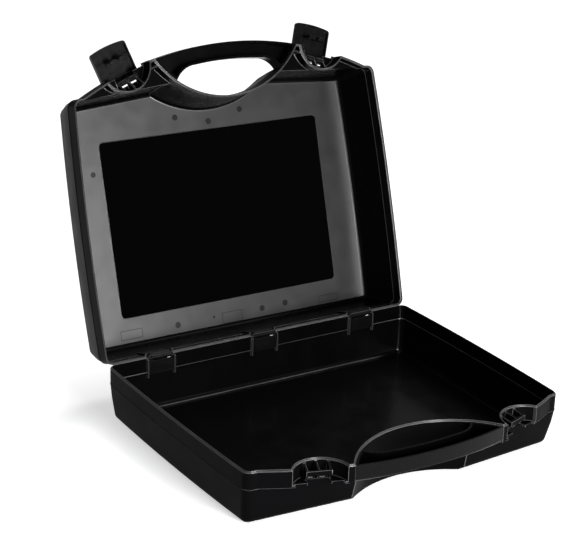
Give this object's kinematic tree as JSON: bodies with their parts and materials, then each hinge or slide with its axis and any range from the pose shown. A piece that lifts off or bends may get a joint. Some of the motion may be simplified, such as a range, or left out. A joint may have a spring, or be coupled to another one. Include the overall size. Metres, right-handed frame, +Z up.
{
  "type": "laptop hard case",
  "caption": "Moulded hard case for a laptop with a hinged lid, an arched front with a carrying handle split along the joint line, and snap latches in round pockets.",
  "frame": {"origin": "on the underside of the base, on the mid plane between left and right, below the tray", "axes": "+X to the right seen from the front, +Y from the handle towards the hinges, +Z up; the case stands open as pictured"},
  "size_m": [0.433, 0.5211, 0.4192],
  "materials": {
    "shell_plastic": "moulded gloss black, satin on the inner panels",
    "grip_plastic": "moulded gloss black",
    "latch_plastic": "moulded gloss black",
    "hinge_plastic": "moulded satin black",
    "pin_steel": "plain drawn wire"
  },
  "bodies": {
    "base": {"base_shell": "shell_plastic", "grip_lower": "grip_plastic", "hinge_leaf_base_left": "hinge_plastic", "hinge_leaf_base_middle": "hinge_plastic", "hinge_leaf_base_right": "hinge_plastic", "hinge_pin_left": "pin_steel", "hinge_pin_middle": "pin_steel", "hinge_pin_right": "pin_steel"},
    "lid": {"lid_shell": "shell_plastic", "grip_upper": "grip_plastic", "hinge_leaf_lid_left": "hinge_plastic", "hinge_leaf_lid_middle": "hinge_plastic", "hinge_leaf_lid_right": "hinge_plastic", "latch_pin_left": "pin_steel", "latch_pin_right": "pin_steel"},
    "latch_l": {"latch_left": "latch_plastic"},
    "latch_r": {"latch_right": "latch_plastic"}
  },
  "joints": [
    {"name": "lid_hinge", "type": "hinge", "parent": "base", "child": "lid", "pos_m": [0, 0.165, 0.0655], "axis": [1, 0, 0], "range_deg": [0, 106.9]},
    {"name": "latch_left_hinge", "type": "hinge", "parent": "lid", "child": "latch_l", "pos_m": [-0.13236, 0.27625, 0.37661], "axis": [0.9487, 0.0919, 0.3026], "range_deg": [0, 90]},
    {"name": "latch_right_hinge", "type": "hinge", "parent": "lid", "child": "latch_r", "pos_m": [0.13236, 0.27625, 0.37661], "axis": [0.9487, -0.0919, -0.3026], "range_deg": [0, 90]}
  ]
}
